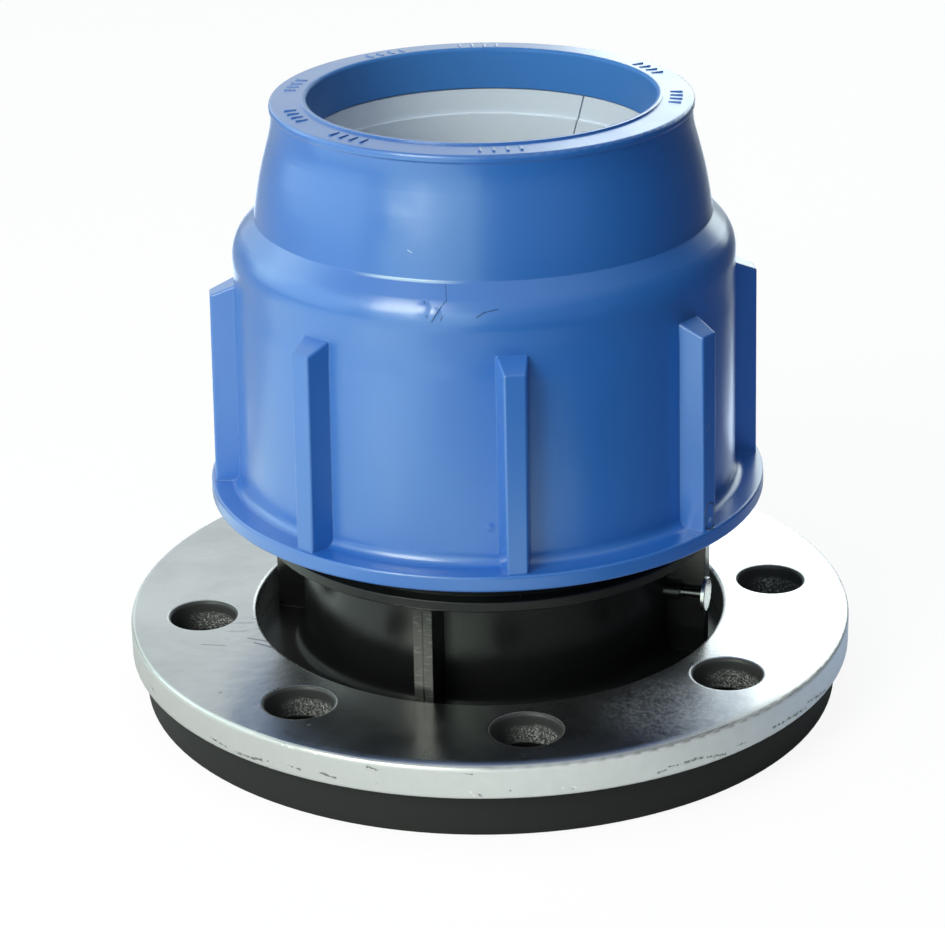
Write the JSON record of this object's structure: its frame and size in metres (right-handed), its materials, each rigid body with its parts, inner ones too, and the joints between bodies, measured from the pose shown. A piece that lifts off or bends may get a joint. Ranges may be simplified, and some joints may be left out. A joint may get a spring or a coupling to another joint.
{
  "type": "compression flange adaptor",
  "caption": "Compression flange adaptor: a ribbed union nut over a split grip ring clamps a plastic pipe to a bolted flange with a loose steel backing ring.",
  "frame": {"origin": "centre of the flange face, which is the lowest face of the fitting", "axes": "+Z along the pipe axis from the flange face towards the mouth of the nut, -Y towards the camera of the picture, +X to its right"},
  "size_m": [0.2, 0.2, 0.1668],
  "materials": {
    "body_plastic": "glossy black moulded plastic, matt on the rim of the flange",
    "zinc_steel": "zinc-plated punched plate with a rough broken edge",
    "nut_plastic": "glossy blue moulded plastic",
    "ring_plastic": "smooth off-white plastic",
    "bush_plastic": "plain black plastic",
    "seal_rubber": "plain black rubber",
    "pin_steel": "bright drawn wire with a flat head"
  },
  "bodies": {
    "base": {"body": "body_plastic", "backing_ring": "zinc_steel", "thrust_bush": "bush_plastic", "seal_ring": "seal_rubber", "retaining_pin": "pin_steel"},
    "carrier": {"grip_ring": "ring_plastic"},
    "union": {"nut": "nut_plastic"}
  },
  "joints": [
    {"name": "nut_advance", "type": "slide", "parent": "base", "child": "carrier", "axis": [0, 0, 1], "range_m": [-0.0085, 0.0362]},
    {"name": "nut_turn", "type": "hinge", "parent": "carrier", "child": "union", "pos_m": [0, 0, 0], "axis": [0, 0, 1], "range_deg": [-504, 2160]}
  ],
  "couplings": [
    {"joint": "nut_advance", "follows": "nut_turn", "m_per_rad": 0.00095493}
  ]
}
